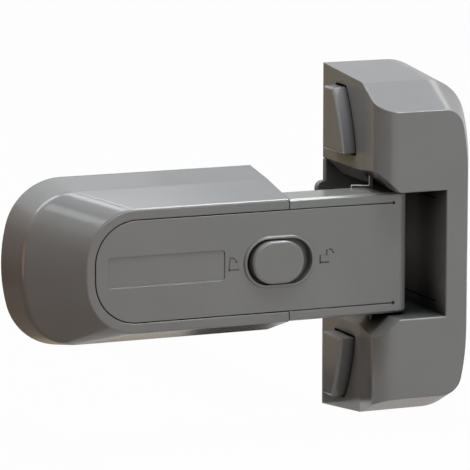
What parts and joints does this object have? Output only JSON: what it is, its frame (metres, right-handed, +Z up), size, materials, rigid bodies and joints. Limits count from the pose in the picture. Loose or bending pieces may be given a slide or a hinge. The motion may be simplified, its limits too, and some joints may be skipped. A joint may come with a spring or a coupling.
{
  "type": "refrigerator safety lock",
  "caption": "Stick-on child safety lock for a refrigerator: a hinged arm closes across the door gap into a base and locks with a thumb slide.",
  "frame": {"origin": "on the bracket pad's stuck face, straight behind the hinge pin's axis and at the middle of the height", "axes": "+X from the latch base to the hinge bracket, +Y into the appliance, +Z up; the arm is closed at rest"},
  "size_m": [0.1341, 0.042, 0.097],
  "materials": {
    "housing_plastic": "satin moulded grey",
    "arm_plastic": "satin moulded grey",
    "button_plastic": "satin moulded grey",
    "knob_plastic": "satin moulded grey",
    "plate_plastic": "fine matte moulded grey",
    "adhesive_foam": "matte closed-cell foam with a paper liner",
    "pin_steel": "bright ground steel",
    "spring_steel": "bright drawn wire",
    "screw_steel": "zinc plated",
    "bolt_steel": "stamped steel",
    "keeper_steel": "stamped steel"
  },
  "bodies": {
    "mounted_parts": {"bracket_housing": "housing_plastic", "bracket_back_plate": "plate_plastic", "bracket_adhesive_pad": "adhesive_foam", "upper_button_spring": "spring_steel", "lower_button_spring": "spring_steel", "hinge_pin": "pin_steel", "base_housing": "housing_plastic", "base_keeper": "keeper_steel", "keeper_screws": "screw_steel", "base_back_plate": "plate_plastic", "base_screws": "screw_steel", "base_adhesive_pad": "adhesive_foam"},
    "arm": {"arm_front_shell": "arm_plastic", "arm_back_cover": "arm_plastic", "arm_screws": "screw_steel", "detent_spring": "spring_steel", "hinge_spring": "spring_steel"},
    "thumb_slide": {"slide_knob": "knob_plastic", "latch_bolt": "bolt_steel", "knob_screw": "screw_steel"},
    "upper_button": {"upper_release_button": "button_plastic"},
    "lower_button": {"lower_release_button": "button_plastic"}
  },
  "joints": [
    {"name": "arm_hinge", "type": "hinge", "parent": "mounted_parts", "child": "arm", "pos_m": [0, -0.02745, 0], "axis": [0, 0, 1], "range_deg": [0, 110], "stiffness_Nm_per_rad": 0.004, "deforming": ["hinge_spring"]},
    {"name": "slide_travel", "type": "slide", "parent": "arm", "child": "thumb_slide", "axis": [1, 0, 0], "range_m": [-0.0007, 0.0022]},
    {"name": "upper_button_press", "type": "slide", "parent": "mounted_parts", "child": "upper_button", "axis": [1, 0, 0], "range_m": [0, 0.0024], "stiffness_N_per_m": 250, "springref_m": -0.0008, "deforming": ["upper_button_spring"]},
    {"name": "lower_button_press", "type": "slide", "parent": "mounted_parts", "child": "lower_button", "axis": [1, 0, 0], "range_m": [0, 0.0024], "stiffness_N_per_m": 250, "springref_m": -0.0008, "deforming": ["lower_button_spring"]}
  ]
}
